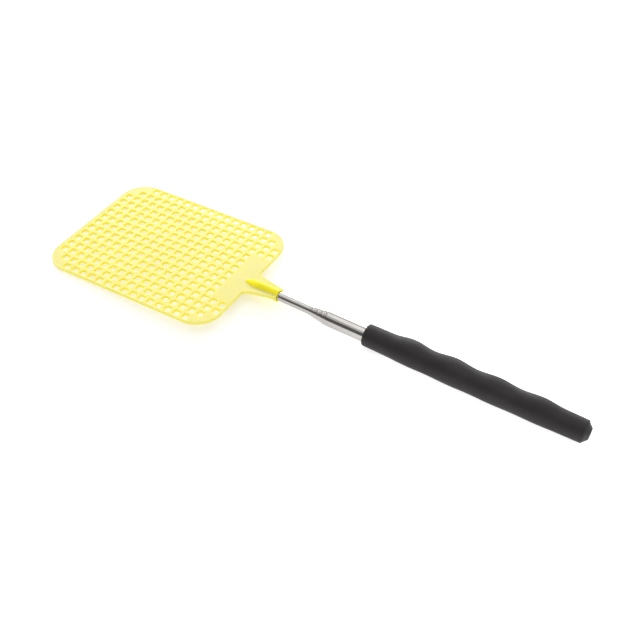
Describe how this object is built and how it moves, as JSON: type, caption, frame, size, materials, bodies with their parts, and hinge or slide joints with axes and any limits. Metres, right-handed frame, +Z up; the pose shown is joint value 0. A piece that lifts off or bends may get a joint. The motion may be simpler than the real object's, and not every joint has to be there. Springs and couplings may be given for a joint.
{
  "type": "fly swatter",
  "caption": "Hand fly swatter with a moulded square-holed head, a telescopic steel rod that pulls out and turns, and a finger-ridged rubber grip.",
  "frame": {"origin": "centre of the closed swatter's outline, on the surface that it lies on", "axes": "+X along the rod from the head to the grip, +Z up from the surface, +Y across the head"},
  "size_m": [0.3307, 0.0944, 0.0157],
  "materials": {
    "head_plastic": "bright yellow, slightly translucent, satin gloss",
    "polished_steel": "polished stainless steel",
    "brass": "turned",
    "spring_bronze": "rolled phosphor bronze",
    "grip_rubber": "matte black",
    "cap_plastic": "matte black"
  },
  "bodies": {
    "handle": {"tube_1": "polished_steel", "rubber_grip": "grip_rubber", "end_cap": "cap_plastic"},
    "springs_2": {"spring_leaf_2a": "spring_bronze", "spring_leaf_2b": "spring_bronze"},
    "section_2": {"tube_2": "polished_steel", "end_bush_2": "brass"},
    "springs_3": {"spring_leaf_3a": "spring_bronze", "spring_leaf_3b": "spring_bronze"},
    "section_3": {"tube_3": "polished_steel", "end_bush_3": "brass"},
    "springs_4": {"spring_leaf_4a": "spring_bronze", "spring_leaf_4b": "spring_bronze"},
    "section_4": {"tube_4": "polished_steel", "end_bush_4": "brass"},
    "springs_5": {"spring_leaf_5a": "spring_bronze", "spring_leaf_5b": "spring_bronze"},
    "section_5": {"tube_5": "polished_steel", "end_bush_5": "brass", "swatter_head": "head_plastic"}
  },
  "joints": [
    {"name": "tube_2_slide", "type": "slide", "parent": "handle", "child": "springs_2", "axis": [-1, 0, 0], "range_m": [0, 0.1332]},
    {"name": "tube_2_swivel", "type": "hinge", "parent": "springs_2", "child": "section_2", "pos_m": [0.1, 0, 0.007], "axis": [1, 0, 0], "continuous": true},
    {"name": "tube_3_slide", "type": "slide", "parent": "section_2", "child": "springs_3", "axis": [-1, 0, 0], "range_m": [0, 0.1206]},
    {"name": "tube_3_swivel", "type": "hinge", "parent": "springs_3", "child": "section_3", "pos_m": [0.1, 0, 0.007], "axis": [1, 0, 0], "continuous": true},
    {"name": "tube_4_slide", "type": "slide", "parent": "section_3", "child": "springs_4", "axis": [-1, 0, 0], "range_m": [0, 0.108]},
    {"name": "tube_4_swivel", "type": "hinge", "parent": "springs_4", "child": "section_4", "pos_m": [0.1, 0, 0.007], "axis": [1, 0, 0], "continuous": true},
    {"name": "tube_5_slide", "type": "slide", "parent": "section_4", "child": "springs_5", "axis": [-1, 0, 0], "range_m": [0, 0.0955]},
    {"name": "tube_5_swivel", "type": "hinge", "parent": "springs_5", "child": "section_5", "pos_m": [0.1, 0, 0.007], "axis": [1, 0, 0], "continuous": true}
  ]
}
